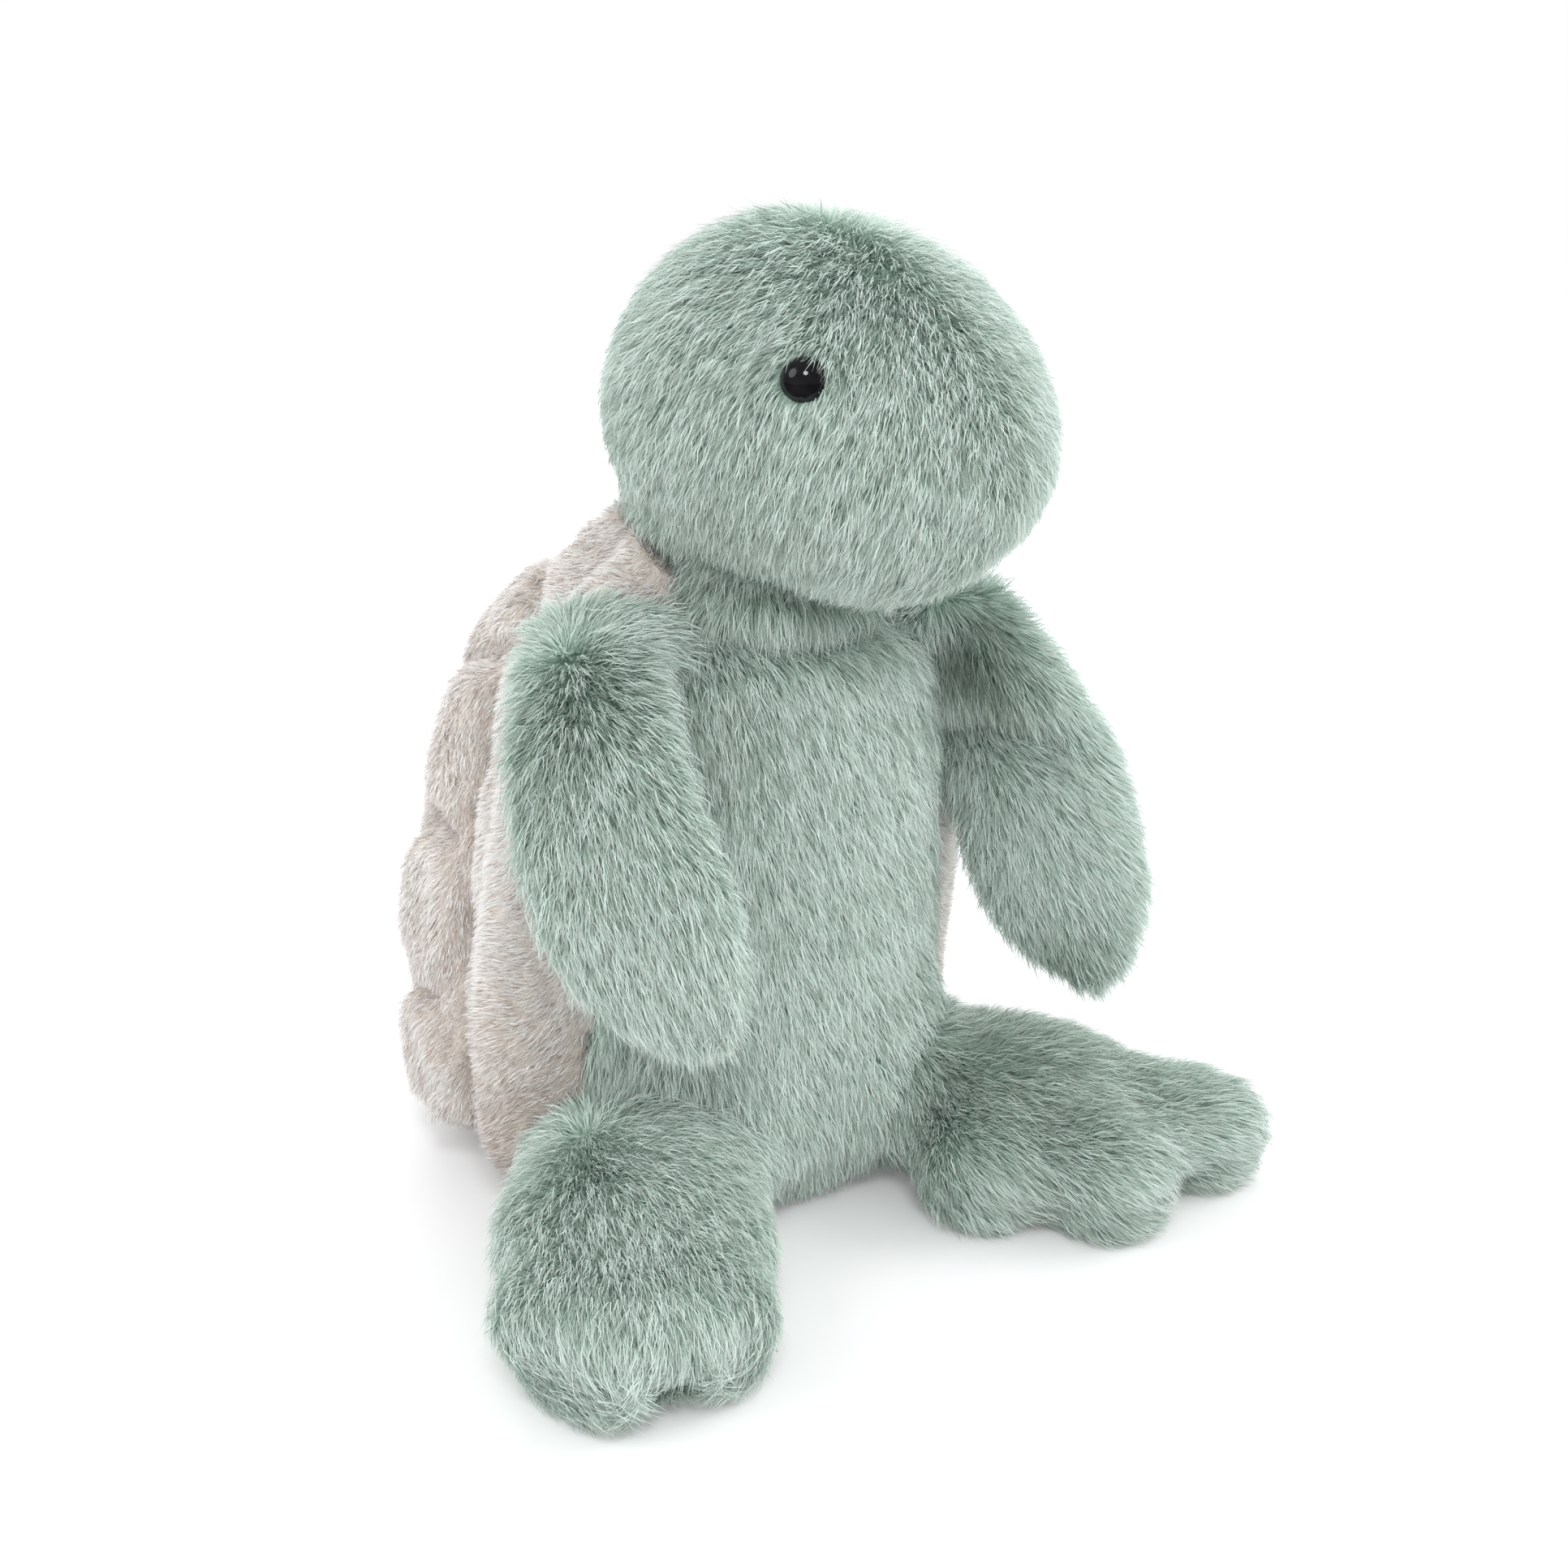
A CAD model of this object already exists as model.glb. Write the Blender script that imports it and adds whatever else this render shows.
import math

import bmesh
import bpy
import numpy as np
from mathutils import Matrix, Vector
from mathutils.bvhtree import BVHTree


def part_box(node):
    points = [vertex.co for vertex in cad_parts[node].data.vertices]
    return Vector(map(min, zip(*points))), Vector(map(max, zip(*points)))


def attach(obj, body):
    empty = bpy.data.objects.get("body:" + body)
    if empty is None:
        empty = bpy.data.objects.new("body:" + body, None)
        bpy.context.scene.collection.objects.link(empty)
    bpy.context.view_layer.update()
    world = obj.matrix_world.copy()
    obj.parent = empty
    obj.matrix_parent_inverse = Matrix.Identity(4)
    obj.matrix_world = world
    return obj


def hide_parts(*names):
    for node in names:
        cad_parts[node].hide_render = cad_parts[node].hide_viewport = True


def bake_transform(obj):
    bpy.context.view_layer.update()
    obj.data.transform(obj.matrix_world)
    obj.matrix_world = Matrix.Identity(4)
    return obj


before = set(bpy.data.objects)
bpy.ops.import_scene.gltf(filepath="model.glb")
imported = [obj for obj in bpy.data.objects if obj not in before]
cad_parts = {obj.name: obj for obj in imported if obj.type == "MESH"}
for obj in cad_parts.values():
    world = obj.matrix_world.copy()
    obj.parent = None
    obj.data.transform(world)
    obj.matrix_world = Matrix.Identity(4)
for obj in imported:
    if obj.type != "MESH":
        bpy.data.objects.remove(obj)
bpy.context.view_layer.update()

print("frame loaded:", len(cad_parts), "nodes")

# Everything is in metres. +Z is up, the toy faces -Y and its right-hand side is -X.
sides = ("right", "left")
limbs = ("arm", "leg")
chance = np.random.RandomState(7)
weld = 0.00001


# Small helpers

def link(name, data):
    thing = bpy.data.objects.new(name, data)
    bpy.context.scene.collection.objects.link(thing)
    return thing


def bakeModifiers(thing):
    bpy.context.view_layer.update()
    graph = bpy.context.evaluated_depsgraph_get()
    mesh = bpy.data.meshes.new_from_object(thing.evaluated_get(graph))
    thing.modifiers.clear()
    old = thing.data
    thing.data = mesh
    bpy.data.meshes.remove(old)
    return thing


def coords(mesh):
    co = np.zeros(len(mesh.vertices) * 3)
    mesh.vertices.foreach_get("co", co)
    return co.reshape(-1, 3)


def unit(vectors):
    return vectors / np.maximum(np.linalg.norm(vectors, axis=-1, keepdims=True), 1e-9)


def onSurface(directions, normals):
    flat = directions - normals * np.sum(directions * normals, axis=1, keepdims=True)
    return unit(flat)


waveMake = {"count": 6, "turns": 1.6, "calm": 3}


def waves(points, size, seed):
    # a smooth value, mostly from -1 to 1, that varies over about this size
    picks = np.random.RandomState(seed)
    total = np.zeros(len(points))
    for _ in range(waveMake["count"]):
        direction = picks.normal(size=3)
        total += np.sin(points @ direction / size * waveMake["turns"] + picks.uniform(0, 2 * math.pi))
    return total / waveMake["calm"]


def glow(points, place, reach):
    # 1 at a place, fading out round it
    return np.exp(-(np.linalg.norm(points - np.array(place), axis=1) / reach) ** 2)


def treeOf(thing):
    bm = bmesh.new()
    bm.from_mesh(thing.data)
    tree = BVHTree.FromBMesh(bm)
    bm.free()
    return tree


# Materials

def newMaterial(name):
    material = bpy.data.materials.new(name)
    material.use_nodes = True
    return material, material.node_tree.nodes, material.node_tree.links


def rampNode(nodes, stops):
    ramp = nodes.new("ShaderNodeValToRGB")
    elements = ramp.color_ramp.elements
    while len(elements) < len(stops):
        elements.new(0.5)
    for element, (place, color) in zip(elements, stops):
        element.position = place
        element.color = (*color, 1)
    return ramp


def pileMaterial(name, look):
    # along a hair from root to tip, and from the darkest hairs to the palest
    material, nodes, links = newMaterial(name)
    shader = nodes["Principled BSDF"]
    uv = nodes.new("ShaderNodeUVMap")
    uv.uv_map = "OFBake"
    split = nodes.new("ShaderNodeSeparateXYZ")
    links.new(uv.outputs["UV"], split.inputs["Vector"])
    along = rampNode(nodes, look["along"])
    tone = rampNode(nodes, look["tone"])
    links.new(split.outputs["Y"], along.inputs["Fac"])
    links.new(split.outputs["X"], tone.inputs["Fac"])
    mix = nodes.new("ShaderNodeMix")
    mix.data_type = "RGBA"
    mix.blend_type = "MULTIPLY"
    mix.inputs["Factor"].default_value = 1
    links.new(along.outputs["Color"], mix.inputs["A"])
    links.new(tone.outputs["Color"], mix.inputs["B"])
    links.new(mix.outputs["Result"], shader.inputs["Base Color"])
    shader.inputs["Roughness"].default_value = look["roughness"]
    shader.inputs["Specular IOR Level"].default_value = look["specular"]
    shader.inputs["Sheen Weight"].default_value = look["sheen"]
    shader.inputs["Sheen Roughness"].default_value = look["sheenRoughness"]
    return material


def clothMaterial(name, look):
    # the knitted backing that the pile grows from
    material, nodes, links = newMaterial(name)
    shader = nodes["Principled BSDF"]
    place = nodes.new("ShaderNodeTexCoord")
    mottle = nodes.new("ShaderNodeTexNoise")
    mottle.inputs["Scale"].default_value = look["mottleScale"]
    mottle.inputs["Detail"].default_value = look["mottleDetail"]
    links.new(place.outputs["Object"], mottle.inputs["Vector"])
    ramp = rampNode(nodes, [(look["stops"][0], look["dark"]), (look["stops"][1], look["pale"])])
    links.new(mottle.outputs["Fac"], ramp.inputs["Fac"])
    links.new(ramp.outputs["Color"], shader.inputs["Base Color"])
    knit = nodes.new("ShaderNodeTexVoronoi")
    knit.inputs["Scale"].default_value = look["knitScale"]
    links.new(place.outputs["Object"], knit.inputs["Vector"])
    bump = nodes.new("ShaderNodeBump")
    bump.inputs["Strength"].default_value = look["knitStrength"]
    bump.inputs["Distance"].default_value = look["knitHeight"]
    links.new(knit.outputs["Distance"], bump.inputs["Height"])
    links.new(bump.outputs["Normal"], shader.inputs["Normal"])
    shader.inputs["Roughness"].default_value = look["roughness"]
    shader.inputs["Specular IOR Level"].default_value = look["specular"]
    return material


def plasticMaterial(name, look):
    material, nodes, links = newMaterial(name)
    shader = nodes["Principled BSDF"]
    place = nodes.new("ShaderNodeTexCoord")
    cloud = nodes.new("ShaderNodeTexNoise")
    cloud.inputs["Scale"].default_value = look["cloudScale"]
    links.new(place.outputs["Object"], cloud.inputs["Vector"])
    color = rampNode(nodes, [(look["stops"][0], look["dark"]), (look["stops"][1], look["pale"])])
    links.new(cloud.outputs["Fac"], color.inputs["Fac"])
    links.new(color.outputs["Color"], shader.inputs["Base Color"])
    shine = nodes.new("ShaderNodeMapRange")
    shine.inputs["To Min"].default_value = look["roughness"][0]
    shine.inputs["To Max"].default_value = look["roughness"][1]
    links.new(cloud.outputs["Fac"], shine.inputs["Value"])
    links.new(shine.outputs["Result"], shader.inputs["Roughness"])
    return material


greenLook = {
    "along": [(0.0, (0.27, 0.41, 0.315)), (0.35, (0.66, 0.8, 0.72)), (1.0, (0.93, 0.985, 0.955))],
    "tone": [(0.0, (0.45, 0.495, 0.445)), (0.45, (0.95, 0.965, 0.955)), (1.0, (1.0, 1.0, 1.0))],
    "roughness": 0.5,
    "specular": 0.4,
    "sheen": 0.1,
    "sheenRoughness": 0.5,
}
creamLook = {
    "along": [(0.0, (0.78, 0.7, 0.64)), (0.35, (0.97, 0.945, 0.925)), (1.0, (1.0, 0.995, 0.99))],
    "tone": [(0.0, (0.7, 0.64, 0.6)), (0.45, (0.97, 0.955, 0.945)), (1.0, (1.0, 1.0, 1.0))],
    "roughness": 0.5,
    "specular": 0.4,
    "sheen": 0.1,
    "sheenRoughness": 0.5,
}
greenPile = pileMaterial("green_pile", greenLook)
creamPile = pileMaterial("cream_pile", creamLook)
clothLook = {
    "stops": (0.3, 0.7),
    "mottleScale": 60,
    "mottleDetail": 6,
    "knitScale": 900,
    "knitStrength": 0.5,
    "knitHeight": 0.0004,
    "roughness": 0.95,
    "specular": 0.2,
}
greenCloth = clothMaterial("green_cloth", {**clothLook, "dark": (0.24, 0.33, 0.285), "pale": (0.34, 0.45, 0.39)})
creamCloth = clothMaterial("cream_cloth", {**clothLook, "dark": (0.62, 0.56, 0.5), "pale": (0.74, 0.68, 0.62)})
eyeBlack = plasticMaterial("eye_black", {
    "dark": (0.004, 0.004, 0.005), "pale": (0.01, 0.01, 0.012), "stops": (0.35, 0.65),
    "cloudScale": 300, "roughness": (0.05, 0.1)})
washerPlastic = plasticMaterial("washer_plastic", {
    "dark": (0.72, 0.71, 0.68), "pale": (0.8, 0.79, 0.76), "stops": (0.35, 0.65),
    "cloudScale": 200, "roughness": (0.4, 0.55)})
print("materials made")


# The closed skins

def outerSurface(bm):
    # keeps the largest shell of faces, which is the outside
    bm.faces.ensure_lookup_table()
    seen, best = set(), []
    for start in bm.faces:
        if start.index in seen:
            continue
        seen.add(start.index)
        group, front = [start], [start]
        while front:
            face = front.pop()
            for edge in face.edges:
                for other in edge.link_faces:
                    if other.index not in seen:
                        seen.add(other.index)
                        group.append(other)
                        front.append(other)
        if len(group) > len(best):
            best = group
    keep = set(best)
    bmesh.ops.delete(bm, geom=[face for face in bm.faces if face not in keep], context="FACES")


def nodeTree(node):
    return treeOf(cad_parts[node])


skinMake = {
    "voxel": 0.0026,
    "pileDepth": 0.0055,
    "steps": 3,
    "soften": 0.5,
    "softness": 2,
    "bridge": 0,
    "bedded": 0.001,
    "pressed": 0.009,
    "fullFrom": 1.0,
    "fullBlend": 0.016,
    "fill": 0.85,
}


def addSink(skin, depth, rounds, softness):
    for _ in range(rounds):
        sink = skin.modifiers.new("sink", "DISPLACE")
        sink.strength = -depth / rounds
        sink.mid_level = 0
        soften = skin.modifiers.new("soften", "SMOOTH")
        soften.factor = skinMake["soften"]
        soften.iterations = softness
        if "free" in skin.vertex_groups:
            sink.vertex_group = "free"
            soften.vertex_group = "free"


def markFree(skin, trees, make):
    # how free each point is of the floor and of the neighbours: there the pile has room to stand
    group = skin.vertex_groups.new(name="free")
    for vertex in skin.data.vertices:
        nearest = vertex.co.z - make["bedded"]
        for tree in trees:
            distance = tree.find_nearest(vertex.co, make["pressed"])[3]
            if distance is not None:
                nearest = min(nearest, distance - make["bedded"])
        share = min(max(nearest / (make["pressed"] - make["bedded"]), 0), 1)
        share *= 1 - min(max((vertex.co.z - make["fullFrom"]) / make["fullBlend"], 0), 1)
        group.add([vertex.index], share, "REPLACE")


def skinFrom(name, nodes, neighbours, make):
    bm = bmesh.new()
    for node in nodes:
        bm.from_mesh(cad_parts[node].data)
    bmesh.ops.remove_doubles(bm, verts=bm.verts, dist=weld)
    mesh = bpy.data.meshes.new(name)
    bm.to_mesh(mesh)
    bm.free()
    skin = link(name, mesh)
    remesh = skin.modifiers.new("evenFaces", "REMESH")
    remesh.mode = "VOXEL"
    remesh.voxel_size = make["voxel"]
    bakeModifiers(skin)
    bm = bmesh.new()
    bm.from_mesh(skin.data)
    outerSurface(bm)
    bm.to_mesh(skin.data)
    bm.free()
    if make["bridge"] > 0:
        # swollen and shrunk again, so that narrow valleys fill
        swell = skin.modifiers.new("swell", "DISPLACE")
        swell.strength = make["bridge"]
        swell.mid_level = 0
        again = skin.modifiers.new("again", "REMESH")
        again.mode = "VOXEL"
        again.voxel_size = make["voxel"]
        addSink(skin, make["bridge"], make["steps"], 1)
        bakeModifiers(skin)
    markFree(skin, [nodeTree(node) for node in neighbours], make)
    addSink(skin, make["pileDepth"], make["steps"], make["softness"])
    bakeModifiers(skin)
    skin.vertex_groups.clear()
    skin.data.shade_smooth()
    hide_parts(*nodes)
    return skin


quilting = {
    "height": 0.21,
    "bottom": 0.002,
    "domeBack": 0.04,
    "topForward": 0.14,
    "radius": 0.084,
    "scuteWidth": 0.046,
    "scuteHeight": 0.054,
    "stitchWidth": 0.018,
    "depth": 0.007,
    "blunt": 0.02,
    "columns": range(-4, 5),
    "rows": range(-1, 5),
}
# Where the rim meets the dome: how far back at each height
rimSeam = {
    "heights": [0.017, 0.072, 0.1, 0.124, 0.148, 0.162, 0.17, 0.178, 0.184, 0.191, 0.21],
    "places": [0.0306, 0.031, 0.029, 0.028, 0.0272, 0.0245, 0.019, 0.018, 0.022, 0.031, 0.036],
    "width": 0.009,
    "depth": 0.01,
}


def behindRim(points):
    return points[:, 1] - np.interp(points[:, 2], rimSeam["heights"], rimSeam["places"])


def rimCrease(points):
    off = np.abs(behindRim(points))
    return np.clip(1 - off / rimSeam["width"], 0, 1) ** 2 * rimSeam["depth"]


def stitching(points):
    # 1 on the borders of the six-sided scutes of the dome, 0 at their middles and on the plain rim
    share = np.clip((points[:, 2] - quilting["bottom"]) / quilting["height"], 0, 1)
    middle = quilting["domeBack"] - quilting["height"] * quilting["topForward"] * share ** 2
    turn = np.arctan2(points[:, 0], np.maximum(points[:, 1] - middle, 0) + quilting["blunt"])
    across = turn * quilting["radius"]
    nearest = np.full((2, len(points)), 1.0)
    for column in quilting["columns"]:
        for row in quilting["rows"]:
            # every second column sits half a scute higher
            step = row + 0.5 * (column % 2 == 0)
            x = across - column * quilting["scuteWidth"]
            z = points[:, 2] - quilting["bottom"] - step * quilting["scuteHeight"]
            distance = np.hypot(x, z)
            closer = distance < nearest[0]
            nearest[1] = np.where(closer, nearest[0], np.minimum(nearest[1], distance))
            nearest[0] = np.minimum(nearest[0], distance)
    border = (nearest[1] - nearest[0]) / 2
    near = np.clip(1 - 2 * border / quilting["stitchWidth"], 0, 1)
    return near ** 2 * (3 - 2 * near) * (behindRim(points) > 0)


def crease(skin, fold):
    # a soft valley along a line of places
    tree = treeOf(skin)
    places = [np.array(tree.find_nearest(Vector(place))[0]) for place in fold["line"]]
    points = coords(skin.data)
    near = np.full(len(points), 1.0)
    for start, end in zip(places, places[1:]):
        span = end - start
        share = np.clip((points - start) @ span / (span @ span), 0, 1)[:, None]
        near = np.minimum(near, np.linalg.norm(points - start - share * span, axis=1))
    depths = np.clip(1 - near / fold["width"], 0, 1) ** 2 * fold["depth"]
    pressIn(skin, depths)


def drawnIn(points):
    # how strongly the stitches and the rim's seam pull, from 0 to 1
    return np.clip(stitching(points) + rimCrease(points) / rimSeam["depth"], 0, 1)


def pressIn(skin, depths):
    normals = [vertex.normal.copy() for vertex in skin.data.vertices]
    for vertex, normal, depth in zip(skin.data.vertices, normals, depths):
        vertex.co -= normal * float(depth)
    skin.data.update()


def nudge(skin, moves):
    # soft pushes and pulls round a few places
    points = coords(skin.data)
    for place, reach, way in moves:
        points = points + glow(points, place, reach)[:, None] * np.array(way)
    skin.data.vertices.foreach_set("co", points.ravel())
    skin.data.update()


limbNodes = [f"{side}_{limb}_skin" for side in sides for limb in limbs]
torsoSkin = skinFrom("torso_cloth", ["torso_skin", "torso_filling", "pellet_bag"],
                     ["shell_cover", "head_skin", *limbNodes], {**skinMake, "pressed": 0.02, "fullFrom": 0.15})
headSkin = skinFrom("head_cloth", ["head_skin", "head_filling"], ["torso_skin", "shell_cover"], skinMake)
shellSkin = skinFrom("shell_cloth", ["shell_cover", "shell_filling"], ["torso_skin", "head_skin", *limbNodes],
                     {**skinMake, "pileDepth": 0.0024, "softness": 1})
shellPoints = coords(shellSkin.data)
pressIn(shellSkin, np.maximum(stitching(shellPoints) * quilting["depth"], rimCrease(shellPoints)))
neckSkin = skinFrom("neck_cloth", ["neck_wad"], [], {**skinMake, "pileDepth": 0.0005})
neckBand = {"height": 0.18, "blend": 0.008, "fuller": 0.006}


def fillNeck(skin, band):
    # the wad bulges in the gap between the torso and the head
    points = coords(skin.data)
    away = points - points.mean(axis=0)
    away[:, 2] = 0
    share = np.exp(-((points[:, 2] - band["height"]) / band["blend"]) ** 2)[:, None]
    skin.data.vertices.foreach_set("co", (points + unit(away) * share * band["fuller"]).ravel())
    skin.data.update()


fillNeck(neckSkin, neckBand)
limbSkins = {}
limbMake = {
    ("right", "arm"): {},
    ("right", "leg"): {"bridge": 0.012, "steps": 4, "softness": 8, "pileDepth": 0.0045},
    ("left", "arm"): {},
    ("left", "leg"): {"bridge": 0.007},
}
for (side, limb), own in limbMake.items():
    node = f"{side}_{limb}"
    limbSkins[side, limb] = skinFrom(node + "_cloth", [node + "_skin", node + "_filling"],
                                     ["torso_skin", "shell_cover"], {**skinMake, **own})
elbowFold = {"line": [(0.057, -0.018, 0.131), (0.0602, -0.026, 0.1307), (0.063, -0.0356, 0.1323),
                      (0.0679, -0.0446, 0.1309), (0.073, -0.0515, 0.129)],
             "width": 0.016, "depth": 0.009}
crease(limbSkins["left", "arm"], elbowFold)
# Where the stuffing pushes or pulls the cloth: place, reach and way
rightLegMoves = [
    ((-0.127, -0.079, 0.029), 0.02, (-0.0055, 0.0043, 0.0)),
    ((-0.136, -0.102, 0.018), 0.021, (0.013, -0.0095, 0.0)),
    ((-0.1, -0.09, 0.036), 0.03, (0.0, 0.0, 0.003)),
]
leftArmMoves = [
    ((0.0935, -0.06, 0.13), 0.025, (0.003, -0.0025, 0.001)),
    ((0.07, -0.038, 0.09), 0.02, (-0.0045, 0.0035, 0.0)),
    ((0.076, -0.046, 0.07), 0.014, (-0.002, 0.0016, -0.001)),
]
shellMoves = [((0.076, -0.0095, 0.09), 0.03, (0.0035, -0.0027, 0.0))]
nudge(limbSkins["right", "leg"], rightLegMoves)
nudge(limbSkins["left", "arm"], leftArmMoves)
nudge(shellSkin, shellMoves)
mouthFold = {"line": [(-0.0079, -0.0941, 0.2134), (0.0048, -0.0955, 0.2081), (0.022, -0.0911, 0.2017)],
             "width": 0.007, "depth": 0.0018}
crease(headSkin, mouthFold)
greenSkins = [torsoSkin, headSkin, neckSkin, *limbSkins.values()]
for skin in greenSkins:
    skin.data.materials.append(greenCloth)
shellSkin.data.materials.append(creamCloth)
print("skins made")


# The pile

def rootsOn(skin, density):
    # roots, normals and how many, spread evenly over the skin
    mesh = skin.data
    mesh.calc_loop_triangles()
    corners = np.zeros(len(mesh.loop_triangles) * 3, int)
    mesh.loop_triangles.foreach_get("vertices", corners)
    corners = corners.reshape(-1, 3)
    points = coords(mesh)
    normals = np.zeros(len(mesh.vertices) * 3)
    mesh.vertex_normals.foreach_get("vector", normals)
    normals = normals.reshape(-1, 3)
    a, b, c = (points[corners[:, k]] for k in range(3))
    areas = np.linalg.norm(np.cross(b - a, c - a), axis=1) / 2
    count = int(areas.sum() * density)
    picked = chance.choice(len(areas), size=count, p=areas / areas.sum())
    u, v = chance.uniform(size=(2, count))
    over = u + v > 1
    u[over], v[over] = 1 - u[over], 1 - v[over]
    weights = np.stack([1 - u - v, u, v], axis=1)[:, :, None]
    roots = np.sum(points[corners[picked]] * weights, axis=1)
    outward = unit(np.sum(normals[corners[picked]] * weights, axis=1))
    return roots, outward


def clearOf(points, trees, gap):
    # which points are further than the gap from all of these surfaces
    clear = np.ones(len(points), bool)
    for index, point in enumerate(points):
        spot = Vector(point)
        for tree in trees:
            if tree.find_nearest(spot, gap)[0] is not None:
                clear[index] = False
                break
    return clear


def hairMesh(name, roots, outward, comb, pile):
    # one blade for each hair: two wide points at each joint and one at the tip
    count, joints = len(roots), pile["joints"]
    length = pile["length"] * chance.uniform(*pile["lengths"], count)
    length = length * pile["growth"](roots, outward)
    rise = pile["rise"](roots)
    # never past upright
    lifts = np.radians(np.minimum(pile["lift"] + rise + chance.normal(size=count) * pile["liftSpread"], 90))
    lay = np.radians(np.minimum(pile["lay"] + rise + chance.normal(size=count) * pile["laySpread"], 90))
    swing = np.radians(chance.normal(size=count) * pile["stray"])
    across = np.cross(outward, comb)
    comb = comb * np.cos(swing)[:, None] + across * np.sin(swing)[:, None]
    spine = [roots]
    for joint in range(joints):
        share = joint / max(joints - 1, 1)
        angle = (lifts * (1 - share) + lay * share)[:, None]
        step = outward * np.sin(angle) + comb * np.cos(angle)
        spine.append(spine[-1] + step * (length / joints)[:, None])
    spine = np.stack(spine, axis=1)
    ways = np.linspace(0, 1, joints + 1)[None, :, None] ** pile["gatherCurve"]
    spine = spine + pile["clumpTips"][:, None, :] * ways
    spine[:, :, 2] = np.maximum(spine[:, :, 2], pile["floor"])
    along = unit(spine[:, -1] - spine[:, 0])
    wide = unit(np.cross(along, outward))
    upright = np.cross(wide, along)
    roll = np.radians(chance.uniform(-pile["roll"], pile["roll"], count))[:, None]
    wide = wide * np.cos(roll) + upright * np.sin(roll)
    widths = pile["width"] * chance.uniform(*pile["widths"], count) / 2
    points = np.zeros((count, 2 * joints + 1, 3))
    for joint in range(joints):
        half = (wide * widths[:, None]) * (1 - pile["taper"] * joint / joints)
        points[:, 2 * joint] = spine[:, joint] - half
        points[:, 2 * joint + 1] = spine[:, joint] + half
    points[:, -1] = spine[:, -1]
    each = 2 * joints + 1
    first = (np.arange(count) * each)[:, None]
    # the corners of one hair's faces, where each face starts, and how far up the hair each corner is
    pattern, starts, heights = [], [], []
    for joint in range(joints - 1):
        starts.append(len(pattern))
        pattern += [2 * joint, 2 * joint + 1, 2 * joint + 3, 2 * joint + 2]
        heights += [joint / joints, joint / joints, (joint + 1) / joints, (joint + 1) / joints]
    starts.append(len(pattern))
    pattern += [each - 3, each - 2, each - 1]
    heights += [(joints - 1) / joints, (joints - 1) / joints, 1]
    loops = (first + np.array(pattern)[None, :]).ravel()
    mesh = bpy.data.meshes.new(name)
    mesh.vertices.add(count * each)
    mesh.vertices.foreach_set("co", points.ravel())
    mesh.loops.add(len(loops))
    mesh.loops.foreach_set("vertex_index", loops)
    faceStarts = (np.arange(count)[:, None] * len(pattern) + np.array(starts)[None, :]).ravel()
    mesh.polygons.add(len(faceStarts))
    mesh.polygons.foreach_set("loop_start", faceStarts)
    layer = mesh.uv_layers.new(name="OFBake")
    # inside the map's edges: across it the hair's tone, up it the way from root to tip
    low, high = pile["mapEdges"]
    uv = np.zeros((count, len(pattern), 2))
    uv[:, :, 0] = np.clip(pile["tones"], low, high)[:, None]
    uv[:, :, 1] = low + (high - low) * np.array(heights)[None, :]
    layer.data.foreach_set("uv", uv.ravel())
    mesh.update(calc_edges=True)
    mesh.validate()
    mesh.shade_smooth()
    return mesh


def growPile(name, skin, pile, comb, trees, finish, panels=None):
    # clumps of hairs that lean the same way and draw together at their tips
    thin = 1
    roots, outward = rootsOn(skin, pile["density"] / pile["perClump"] * thin)
    # none where a neighbour presses, under the seat and feet, or on bare places
    offFloor = (outward[:, 2] > -pile["seatSlope"]) | (roots[:, 2] > pile["seatHeight"])
    keep = clearOf(roots, trees, pile["contactGap"]) & offFloor
    keep &= pile["growth"](roots, outward) > pile["bare"]
    roots, outward = roots[keep], outward[keep]
    direction = onSurface(comb(roots, outward), outward)
    bend = waves(roots, pile["waveSize"], pile["waveSeed"]) * pile["waveTurn"]
    drift = np.radians(bend + chance.normal(size=len(roots)) * pile["clumpTurn"])
    across = np.cross(outward, direction)
    direction = direction * np.cos(drift)[:, None] + across * np.sin(drift)[:, None]
    across = np.cross(outward, direction)
    patches = waves(roots, pile["patchSize"], pile["patchSeed"]) * pile["patchTone"]
    shade = 0.5 + pile["shade"](roots, outward) + patches + chance.normal(size=len(roots)) * pile["clumpTone"]
    per = pile["perClump"]
    offsets = chance.normal(size=(len(roots), per, 2)) * pile["clumpSpread"]
    spread = direction[:, None] * offsets[..., :1] + across[:, None] * offsets[..., 1:]
    allRoots = (roots[:, None] + spread).reshape(-1, 3)
    allOutward = np.repeat(outward, per, axis=0)
    allComb = np.repeat(direction, per, axis=0)
    tones = np.repeat(shade, per) + chance.normal(size=len(allRoots)) * pile["hairTone"]
    gather = (-spread * pile["gather"]).reshape(-1, 3)
    groups = np.zeros(len(allRoots), int) if panels is None else np.repeat(panels["pick"](roots), per)
    labels = [""] if panels is None else panels["names"]
    made = []
    for index, label in enumerate(labels):
        mine = groups == index
        settings = {**pile, "clumpTips": gather[mine], "tones": tones[mine]}
        settings["width"] = pile["width"] / math.sqrt(thin)
        mesh = hairMesh(name + label, allRoots[mine], allOutward[mine], allComb[mine], settings)
        piece = link(name + label, mesh)
        piece.data.materials.append(finish)
        made.append(piece)
    return made


def evenGrowth(points, outward):
    return np.ones(len(points))


def noRise(points):
    return np.zeros(len(points))


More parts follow.
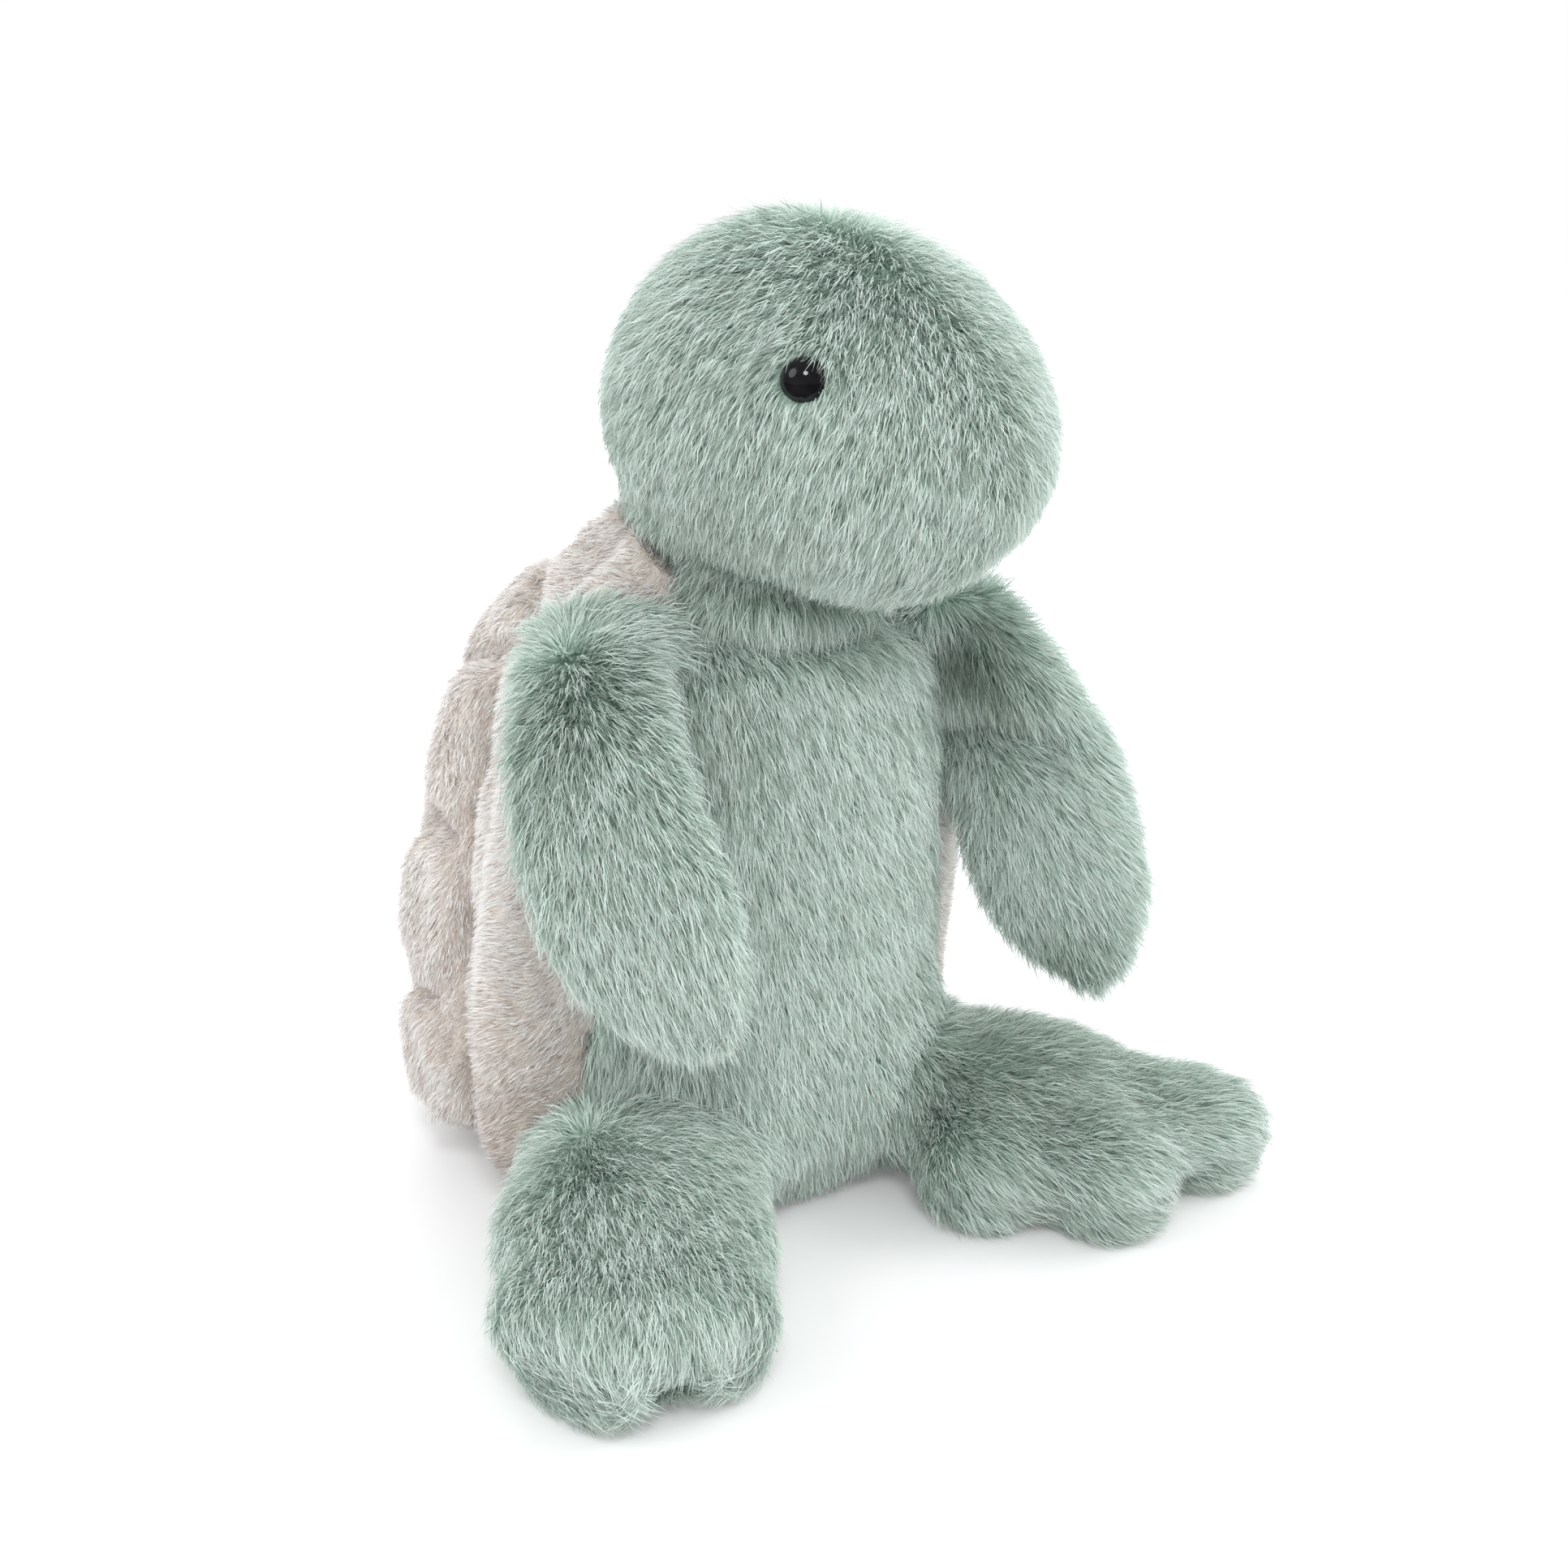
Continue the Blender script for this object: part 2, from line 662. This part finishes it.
greenHair = {
    "length": 0.0105,
    "width": 0.00032,
    "joints": 2,
    "density": 1.1e6,
    "perClump": 3,
    "clumpSpread": 0.0006,
    "gather": 0.35,
    "lift": 42,
    "liftSpread": 11,
    "lay": 12,
    "laySpread": 10,
    "stray": 8,
    "clumpTurn": 6,
    "waveSize": 0.012,
    "waveTurn": 5,
    "roll": 55,
    "patchSize": 0.012,
    "patchTone": 0.05,
    "clumpTone": 0.14,
    "hairTone": 0.34,
    "waveSeed": 3,
    "patchSeed": 5,
    "lengths": (0.7, 1.12),
    "widths": (0.7, 1.25),
    "taper": 0.35,
    "gatherCurve": 1.5,
    "mapEdges": (0.01, 0.99),
    "contactGap": 0.0014,
    "floor": 0.0004,
    "seatSlope": 0.8,
    "seatHeight": 0.004,
    "bare": 0.05,
    "quickShare": 0.5,
    "growth": evenGrowth,
    "rise": noRise,
}
# The fine hairs between, a fifth shorter and straight
greenDown = {**greenHair, "joints": 1, "density": 3.3e6, "perClump": 4, "length": 0.0082, "width": 0.00026,
             "lift": 30, "liftSpread": 12}
creamOwn = {
    "waveTurn": 26,
    "waveSize": 0.016,
    "patchTone": 0.12,
    "patchSize": 0.014,
    "clumpTone": 0.2,
    "clumpSpread": 0.0008,
}
creamHair = {**greenHair, **creamOwn, "density": 0.85e6, "length": 0.0046, "lift": 42, "lay": 18}
creamDown = {**greenDown, **creamOwn, "density": 2.6e6, "length": 0.0036, "lift": 32}


def growBoth(name, skin, guard, down, comb, trees, finish, panels=None):
    return [*growPile(name + "_pile", skin, guard, comb, trees, finish, panels),
            *growPile(name + "_down", skin, down, comb, trees, finish, panels)]


# Eyes

def eyeAxis(node):
    # the eye turns about its longest direction, and its apex is its furthest point from the head's middle
    points = coords(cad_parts[node].data)
    middle = points.mean(axis=0)
    low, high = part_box("head_skin")
    headMiddle = np.array((low + high) / 2)
    spread = np.linalg.svd(points - middle, full_matrices=False)[2]
    ranges = [np.ptp((points - middle) @ row) for row in spread]
    axis = spread[int(np.argmax(ranges))]
    if axis @ (middle - headMiddle) < 0:
        axis = -axis
    reach = (points - middle) @ axis
    apex = points[int(np.argmax(reach))]
    return apex, axis


eyeMake = {
    "radius": 0.006,
    "dome": 0.005,
    "flange": 0.001,
    "shankRadius": 0.002,
    "shankLength": 0.013,
    "ribHeight": 0.0004,
    "ribPitch": 0.002,
    "segments": 48,
    "seat": 0.0006,
    "cushion": 0.014,
    "deepest": 0.018,
    "domeSteps": 12,
    "edgeCut": 0.0002,
}


def eyeProfile(make):
    # from the apex, over the dome and down the ribbed shank, with the apex at zero
    points = []
    for step in range(make["domeSteps"] + 1):
        angle = math.pi / 2 * (1 - step / make["domeSteps"])
        points.append((make["radius"] * math.cos(angle), make["dome"] * (math.sin(angle) - 1)))
    back = -make["dome"] - make["flange"]
    points.append((make["radius"], back + make["edgeCut"]))
    points.append((make["radius"] - make["edgeCut"], back))
    points.append((make["shankRadius"], back))
    end = back - make["shankLength"]
    height = back - make["ribPitch"]
    while height > end + make["ribPitch"]:
        points.append((make["shankRadius"], height))
        points.append((make["shankRadius"] + make["ribHeight"], height - make["ribPitch"] / 4))
        points.append((make["shankRadius"], height - make["ribPitch"] / 2))
        height -= make["ribPitch"]
    points.append((make["shankRadius"], end))
    points.append((0, end))
    return points


def besideAxis(points, apex, axis):
    # how far each point lies along the axis from its apex, and how far from the axis
    offset = points - apex
    reach = offset @ axis
    return reach, np.linalg.norm(offset - reach[:, None] * axis, axis=1)


def cushion(skin, apex, axis, make):
    # brings the skin up to just above the flange, as the washer holds it
    points = coords(skin.data)
    reach, away = besideAxis(points, apex, axis)
    held = -make["dome"] + make["seat"]
    blend = np.clip((make["cushion"] - away) / (make["cushion"] - make["radius"]), 0, 1)
    blend = blend * blend * (3 - 2 * blend) * (np.abs(reach) < make["deepest"])
    moves = (held - reach) * blend
    for vertex, move in zip(skin.data.vertices, moves):
        vertex.co += Vector(axis) * float(move)
    skin.data.update()


eyePlaces = {}
for side in sides:
    apex, axis = eyeAxis(f"{side}_eye")
    bm = bmesh.new()
    verts = [bm.verts.new((radius, 0, height)) for radius, height in eyeProfile(eyeMake)]
    edges = [bm.edges.new(pair) for pair in zip(verts, verts[1:])]
    bmesh.ops.spin(bm, geom=verts + edges, cent=(0, 0, 0), axis=(0, 0, 1), angle=2 * math.pi,
                   steps=eyeMake["segments"], use_merge=True)
    bmesh.ops.remove_doubles(bm, verts=bm.verts, dist=weld)
    bmesh.ops.recalc_face_normals(bm, faces=bm.faces)
    turn = Vector((0, 0, 1)).rotation_difference(Vector(axis)).to_matrix().to_4x4()
    bm.transform(Matrix.Translation(Vector(apex)) @ turn)
    mesh = bpy.data.meshes.new(f"{side}_eye_bead")
    bm.to_mesh(mesh)
    bm.free()
    mesh.shade_smooth()
    bead = link(f"{side}_eye_bead", mesh)
    bead.data.materials.append(eyeBlack)
    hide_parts(f"{side}_eye")
    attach(bead, "head")
    eyePlaces[side] = (np.array(apex), np.array(axis))
    cushion(headSkin, *eyePlaces[side], eyeMake)
    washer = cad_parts[f"{side}_eye_washer"]
    washer.data.materials.clear()
    washer.data.materials.append(washerPlastic)
print("eyes made")


# Pile on each piece

trunkTrees = {"torso": treeOf(torsoSkin), "shell": treeOf(shellSkin), "head": treeOf(headSkin)}
limbTrees = [treeOf(skin) for skin in limbSkins.values()]


def halves(place, reach):
    # beyond this reach of a place, and within it
    return {
        "names": ["_far", "_near"],
        "pick": lambda points: (np.linalg.norm(points - np.array(place), axis=1) < reach).astype(int),
    }


def quarters(split):
    # right and left, in front of and behind a place
    return {
        "names": ["_front_right", "_front_left", "_back_right", "_back_left"],
        "pick": lambda points: (points[:, 0] > split[0]).astype(int) + 2 * (points[:, 1] > split[1]),
    }


torsoFlow = {
    "skew": (0.07, -0.07, -1.0),
    "rimHeight": 0.136,
    "rimBlend": 0.036,
    "rimRise": 4,
    "rimLonger": 0.1,
    "pale": 0.1,
    "shadowFrom": (-0.038, -0.035, 0.145),
    "shadowReach": 0.026,
    "shadow": 0.32,
}


def torsoComb(points, outward):
    return np.tile(torsoFlow["skew"], (len(points), 1))


def torsoRim(points):
    # 1 close under the head, where the pile stands up and hides the neck
    return np.clip((points[:, 2] - torsoFlow["rimHeight"]) / torsoFlow["rimBlend"], 0, 1)


torsoOwn = {
    "rise": lambda points: torsoFlow["rimRise"] * torsoRim(points),
    "growth": lambda points, outward: 1 + torsoFlow["rimLonger"] * torsoRim(points),
    "shade": lambda points, outward:
        torsoFlow["pale"] - torsoFlow["shadow"] * glow(points, torsoFlow["shadowFrom"], torsoFlow["shadowReach"]),
}
torsoPile = growBoth("torso", torsoSkin, {**greenHair, **torsoOwn}, {**greenDown, **torsoOwn}, torsoComb,
                     [trunkTrees["shell"], *limbTrees],
                     greenPile, quarters((0, 0)))


def neckComb(points, outward):
    return np.tile((0, 0, -1.0), (len(points), 1))


neckFlow = {"longer": 1.5, "flatter": 8, "shadowFrom": 0.176, "shadowBlend": 0.012, "shadow": 0.3}
neckOwn = {
    "rise": lambda points: np.full(len(points), -neckFlow["flatter"]),
    "growth": lambda points, outward: np.full(len(points), neckFlow["longer"]),
    # darkest close under the head
    "shade": lambda points, outward:
        -neckFlow["shadow"] * np.clip((points[:, 2] - neckFlow["shadowFrom"]) / neckFlow["shadowBlend"], 0, 1),
}
neckPile = growBoth("neck", neckSkin, {**greenHair, **neckOwn}, {**greenDown, **neckOwn}, neckComb,
                    [trunkTrees["torso"], trunkTrees["head"]], greenPile)

headFlow = {
    "yaw": math.radians(14),
    "centre": (0.0082, -0.033, 0.234),
    "partAt": -0.005,
    "part": 0.007,
    "outward": 0.3,
    "backward": 0.1,
    "swept": 0.5,
    "sweptReach": 0.06,
}


def headComb(points, outward):
    # parted along the middle of the head, then down and a little backward
    turn = headFlow["yaw"]
    across = np.array([math.cos(turn), math.sin(turn), 0])
    backward = np.array([-math.sin(turn), math.cos(turn), 0])
    offset = points - np.array(headFlow["centre"])
    beside = np.tanh((offset @ across - headFlow["partAt"]) / headFlow["part"])[:, None]
    behind = 0.5 + 0.5 * np.clip(offset @ backward / headFlow["sweptReach"], -1, 1)[:, None]
    swept = headFlow["backward"] + headFlow["swept"] * behind ** 2
    return beside * across * headFlow["outward"] + backward * swept - np.array([0, 0, 1.0])


chin = {"height": 0.196, "blend": 0.012, "rise": 14}
headShades = [((-0.04, -0.053, 0.206), 0.028, -0.28), ((0.0, -0.03, 0.285), 0.035, 0.25)]
parting = {"pale": 0.3, "paleBlend": 0.01, "dark": 0.2, "darkAt": -0.006, "darkReach": 0.005}
faceMake = {
    "growth": 0.85,
    "eyeDeep": 0.02,
    "eyeBare": 0.0056,
    "eyeBlend": 0.0054,
    "browFrom": 0.001,
    "brow": 0.85,
    "lid": 0.5,
}


def headGrowth(points, outward):
    # none on the eyes, and shorter round them, less so above
    make = faceMake
    growth = np.full(len(points), make["growth"])
    for apex, axis in eyePlaces.values():
        reach, away = besideAxis(points, apex, axis)
        near = np.abs(reach) < make["eyeDeep"]
        growth[near & (away < make["eyeBare"])] = 0
        ring = near & (away >= make["eyeBare"]) & (away < make["eyeBare"] + make["eyeBlend"])
        least = np.where(points[:, 2] - apex[2] > make["browFrom"], make["brow"], make["lid"])[ring]
        growth[ring] *= least + (1 - least) * (away[ring] - make["eyeBare"]) / make["eyeBlend"]
    return growth


def headShade(points, outward):
    # a dark parting, and paler on its left-hand side
    turn = headFlow["yaw"]
    beside = (points - np.array(headFlow["centre"])) @ np.array([math.cos(turn), math.sin(turn), 0])
    total = parting["pale"] * np.clip(beside / parting["paleBlend"], 0, 1)
    total -= parting["dark"] * np.exp(-((beside - parting["darkAt"]) / parting["darkReach"]) ** 2)
    for place, reach, depth in headShades:
        total = total + depth * glow(points, place, reach)
    return total


headOwn = {
    "growth": headGrowth,
    "shade": headShade,
    # the chin's hairs hang down
    "rise": lambda points: chin["rise"] * np.clip((chin["height"] - points[:, 2]) / chin["blend"], 0, 1),
}
headPile = growBoth("head", headSkin, {**greenHair, **headOwn}, {**greenDown, **headOwn}, headComb,
                    [trunkTrees["torso"], trunkTrees["shell"]], greenPile,
                    quarters(headFlow["centre"]))

shellFlow = {
    "middle": (0.0, 0.03, 0.0),
    "down": 0.8,
    "outward": 0.6,
    "rimSkew": (0.0, 0.8, 0.3),
    "rimBlend": 0.004,
    "shorter": 0.45,
    "pale": 0.14,
    "rimPale": 0.2,
    "stitchDark": 0.45,
    "lowDark": 0.95,
    "lowHeight": 0.09,
    "lowBlend": 0.06,
    "front": 0.03,
    "highFrom": 0.11,
}


def shellComb(points, outward):
    # down and away from the toy's middle, on the rim back towards the crease
    away = points * np.array([1, 1, 0]) - np.array(shellFlow["middle"])
    comb = unit(away) * shellFlow["outward"] - np.array([0, 0, shellFlow["down"]])
    rim = np.clip(-behindRim(points) / shellFlow["rimBlend"], 0, 1)[:, None]
    return comb + rim * np.array(shellFlow["rimSkew"])


def shellGrowth(points, outward):
    # shorter where the stitches pull
    return 1 - shellFlow["shorter"] * drawnIn(points)


def shellShade(points, outward):
    # darker in the stitches and low down in front, palest on the rim
    flow = shellFlow
    low = np.clip((flow["lowHeight"] - points[:, 2]) / flow["lowBlend"], 0, 1) * (points[:, 1] < flow["front"])
    rim = behindRim(points) < 0
    return flow["pale"] + flow["rimPale"] * rim - flow["stitchDark"] * drawnIn(points) - flow["lowDark"] * low


def shellPanels(points):
    # the number of each root's panel in the list of names below
    rim = points[:, 1] < shellFlow["front"]
    right = points[:, 0] < 0
    high = points[:, 2] > shellFlow["highFrom"]
    return np.where(rim, np.where(right, 0, 1), 2 + 2 * right.astype(int) + high)


shellOwn = {"growth": shellGrowth, "shade": shellShade}
shellPile = growBoth("shell", shellSkin, {**creamHair, **shellOwn}, {**creamDown, **shellOwn}, shellComb,
                     [trunkTrees["torso"]], creamPile,
                     {"names": ["_rim_right", "_rim_left", "_low_left", "_high_left", "_low_right", "_high_right"],
                      "pick": shellPanels})

# Each limb's whorl, the way its pile leans, how it rises or lies flat, and its pale edge and dark places
limbFlow = {
    ("right", "arm"): {"whorl": (-0.0785, -0.03, 0.174), "lean": (-0.03, -0.5, -0.8), "soft": 0.02, "rise": 24,
                       "reach": 0.017, "flat": 0, "edge": 0.5, "pale": -0.02,
                       "dark": [((-0.086, -0.034, 0.16), 0.013, 0.2), ((-0.093, -0.038, 0.146), 0.012, 0.15)]},
    ("left", "arm"): {"whorl": (0.058, -0.036, 0.163), "lean": (0.3, -0.3, -0.8), "soft": 0.02, "rise": 40,
                      "reach": 0.022, "flat": 4, "edge": 0.4, "pale": 0.3,
                      "elbow": (0.06, -0.03, 0.13), "elbowBlend": 0.003, "elbowRise": 24,
                      "dark": [((0.058, -0.033, 0.157), 0.018, 0.7), ((0.066, -0.042, 0.143), 0.016, 0.6),
                               ((0.082, -0.056, 0.06), 0.013, 0.9)]},
    ("right", "leg"): {"whorl": (-0.09, -0.042, 0.043), "lean": (-0.5, -0.55, -0.2), "soft": 0.025, "rise": 2,
                       "reach": 0.02, "flat": 12, "edge": 0.1, "pale": 0.1, "dark": []},
    ("left", "leg"): {"whorl": (0.045, -0.05, 0.04), "lean": (0.45, -0.6, -0.2), "soft": 0.025, "rise": 14,
                      "reach": 0.022, "flat": 0, "edge": 0.1, "pale": 0, "dark": [((0.05, -0.06, 0.035), 0.04, 0.2)]},
}


def belowElbow(points, flow):
    return 1 / (1 + np.exp((points[:, 2] - flow["elbow"][2]) / flow["elbowBlend"]))


def awayFrom(points, place, soft):
    offset = points - np.array(place)
    return offset / np.maximum(np.linalg.norm(offset, axis=1, keepdims=True), soft)


def limbComb(flow):
    # away from a whorl near the seam, and along the limb; below a folded elbow away from the fold's inner end
    def comb(points, outward):
        away = awayFrom(points, flow["whorl"], flow["soft"])
        if "elbow" in flow:
            below = belowElbow(points, flow)[:, None]
            away = away * (1 - below) + awayFrom(points, flow["elbow"], flow["soft"] / 2) * below
        return away + np.array(flow["lean"])
    return comb


def limbRise(flow):
    # the hairs stand up round the whorl and just below the elbow
    def rise(points):
        near = glow(points, flow["whorl"], flow["reach"])
        total = flow["rise"] * near - flow["flat"] * (1 - near)
        if "elbow" in flow:
            total = total + flow["elbowRise"] * glow(points, flow["elbow"], flow["reach"]) * belowElbow(points, flow)
        return total
    return rise


def limbShade(skin, flow):
    # paler along the thin edge of the limb, darker at its folds
    points = coords(skin.data)
    flat = np.linalg.svd(points - points.mean(axis=0), full_matrices=False)[2][2]

    def shade(points, outward):
        total = flow["pale"] + flow["edge"] * (1 - np.abs(outward @ flat)) ** edgeCurve
        for place, reach, depth in flow["dark"]:
            total = total - depth * glow(points, place, reach)
        return total
    return shade


edgeCurve = 1.4
nearReach = 0.055
limbPiles = {}
for (side, limb), flow in limbFlow.items():
    skin = limbSkins[side, limb]
    own = {"rise": limbRise(flow), "shade": limbShade(skin, flow)}
    limbPiles[side, limb] = growBoth(f"{side}_{limb}", skin, {**greenHair, **own}, {**greenDown, **own},
                                     limbComb(flow), [trunkTrees["torso"], trunkTrees["shell"]],
                                     greenPile,
                                     halves(flow["whorl"], nearReach))
print("pile grown")


# What each piece moves with

for piece in [torsoSkin, shellSkin, *torsoPile, *shellPile]:
    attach(piece, "torso")
for piece in [headSkin, *headPile]:
    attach(piece, "head")
for piece in [neckSkin, *neckPile]:
    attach(piece, "neck")
# Where the cloth bends at each limb: from the torso's last fixed place to the limb's first
seams = {
    ("right", "arm"): ((-0.036, -0.012, 0.17), (-0.06, -0.022, 0.17)),
    ("left", "arm"): ((0.036, -0.012, 0.17), (0.06, -0.022, 0.17)),
    ("right", "leg"): ((-0.045, -0.02, 0.02), (-0.065, -0.045, 0.02)),
    ("left", "leg"): ((0.036, -0.022, 0.02), (0.056, -0.05, 0.02)),
}
for (side, limb), (start, end) in seams.items():
    for piece in [limbSkins[side, limb], *limbPiles[side, limb]]:
        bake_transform(piece)


# Floor, lights, camera

studio = {
    "floorSize": 6.0,
    "floorRoughness": 0.9,
    "floorColor": (0.9, 0.9, 0.9),
    "floorMirrored": (0.06, 0.06, 0.06),
    "floorGlow": 0.13,
    "floorGlowFar": 0.6,
    "floorFar": (0.25, 0.7),
    "air": 0.8,
    "airShine": 0.25,
    "airColor": (0.97, 0.985, 1.0),
    "target": (0, 0, 0.13),
}
lamps = {
    "key": {"power": 12.5, "size": 0.6, "place": (-0.9, -1.25, 1.65)},
    "fill": {"power": 7.2, "size": 1.2, "place": (-1.6, 0.4, 1.4)},
    "side": {"power": 12, "size": 1.2, "place": (1.4, -0.9, 1.1)},
    "back": {"power": 14, "size": 1.4, "place": (0.7, 1.6, 1.2)},
}


def makeFloor(studio):
    bm = bmesh.new()
    bmesh.ops.create_grid(bm, x_segments=1, y_segments=1, size=studio["floorSize"] / 2)
    mesh = bpy.data.meshes.new("floor")
    bm.to_mesh(mesh)
    bm.free()
    floor = link("floor", mesh)
    material, nodes, links = newMaterial("floor_white")
    shader = nodes["Principled BSDF"]
    shader.inputs["Roughness"].default_value = studio["floorRoughness"]
    shader.inputs["Specular IOR Level"].default_value = 0
    # dark to the eyes' shine, so that it doesn't fill their lower half
    path = nodes.new("ShaderNodeLightPath")
    color = nodes.new("ShaderNodeMix")
    color.data_type = "RGBA"
    color.inputs["A"].default_value = (*studio["floorColor"], 1)
    color.inputs["B"].default_value = (*studio["floorMirrored"], 1)
    links.new(path.outputs["Is Glossy Ray"], color.inputs["Factor"])
    links.new(color.outputs["Result"], shader.inputs["Base Color"])
    # only as bright as it needs near the toy, so that its shadow shows, and plain white further away
    place = nodes.new("ShaderNodeTexCoord")
    away = nodes.new("ShaderNodeVectorMath")
    away.operation = "LENGTH"
    links.new(place.outputs["Object"], away.inputs[0])
    spread = nodes.new("ShaderNodeMapRange")
    spread.inputs["From Min"].default_value = studio["floorFar"][0]
    spread.inputs["From Max"].default_value = studio["floorFar"][1]
    spread.inputs["To Min"].default_value = studio["floorGlow"]
    spread.inputs["To Max"].default_value = studio["floorGlowFar"]
    links.new(away.outputs["Value"], spread.inputs["Value"])
    seen = nodes.new("ShaderNodeMath")
    seen.operation = "MULTIPLY"
    links.new(path.outputs["Is Camera Ray"], seen.inputs[0])
    links.new(spread.outputs["Result"], seen.inputs[1])
    shader.inputs["Emission Color"].default_value = (1, 1, 1, 1)
    links.new(seen.outputs["Value"], shader.inputs["Emission Strength"])
    floor.data.materials.append(material)


def makeWorld(studio):
    # white to the camera, softer air on the toy, and a dimmer one in what shines
    world = bpy.data.worlds.new("studio")
    world.use_nodes = True
    nodes, links = world.node_tree.nodes, world.node_tree.links
    seen = nodes["Background"]
    seen.inputs["Color"].default_value = (1, 1, 1, 1)
    seen.inputs["Strength"].default_value = 1
    air = nodes.new("ShaderNodeBackground")
    air.inputs["Color"].default_value = (*studio["airColor"], 1)
    air.inputs["Strength"].default_value = studio["air"]
    path = nodes.new("ShaderNodeLightPath")
    mix = nodes.new("ShaderNodeMixShader")
    shine = nodes.new("ShaderNodeBackground")
    shine.inputs["Strength"].default_value = studio["airShine"]
    mirrored = nodes.new("ShaderNodeMixShader")
    links.new(path.outputs["Is Glossy Ray"], mirrored.inputs["Fac"])
    links.new(air.outputs["Background"], mirrored.inputs[1])
    links.new(shine.outputs["Background"], mirrored.inputs[2])
    links.new(path.outputs["Is Camera Ray"], mix.inputs["Fac"])
    links.new(mirrored.outputs["Shader"], mix.inputs[1])
    links.new(seen.outputs["Background"], mix.inputs[2])
    links.new(mix.outputs["Shader"], nodes["World Output"].inputs["Surface"])
    bpy.context.scene.world = world


def makeLamp(name, make, target):
    data = bpy.data.lights.new(name, "AREA")
    data.shape = "DISK"
    data.size = make["size"]
    data.energy = make["power"]
    lamp = link(name, data)
    lamp.location = make["place"]
    lamp.rotation_mode = "QUATERNION"
    lamp.rotation_quaternion = (Vector(target) - Vector(make["place"])).to_track_quat("-Z", "Y")


camera = {
    "azimuth": math.radians(-38),
    "elevation": math.radians(17),
    "distance": 0.64,
    "aim": (0.01127, -0.0088, 0.12),
    "lens": 49.25,
    "sensor": 36,
    "nearest": 0.01,
}


def makeCamera(camera):
    data = bpy.data.cameras.new("camera")
    data.sensor_width = camera["sensor"]
    data.lens = camera["lens"]
    data.clip_start = camera["nearest"]
    body = link("camera", data)
    turn, tilt = camera["azimuth"], camera["elevation"]
    back = Vector((math.sin(turn) * math.cos(tilt), -math.cos(turn) * math.cos(tilt), math.sin(tilt)))
    body.location = Vector(camera["aim"]) + back * camera["distance"]
    body.rotation_mode = "QUATERNION"
    body.rotation_quaternion = (-back).to_track_quat("-Z", "Y")
    bpy.context.scene.camera = body


makeFloor(studio)
makeWorld(studio)
for name, make in lamps.items():
    makeLamp(name, make, studio["target"])
makeCamera(camera)
bpy.context.scene.view_settings.view_transform = "Standard"
print("studio made")
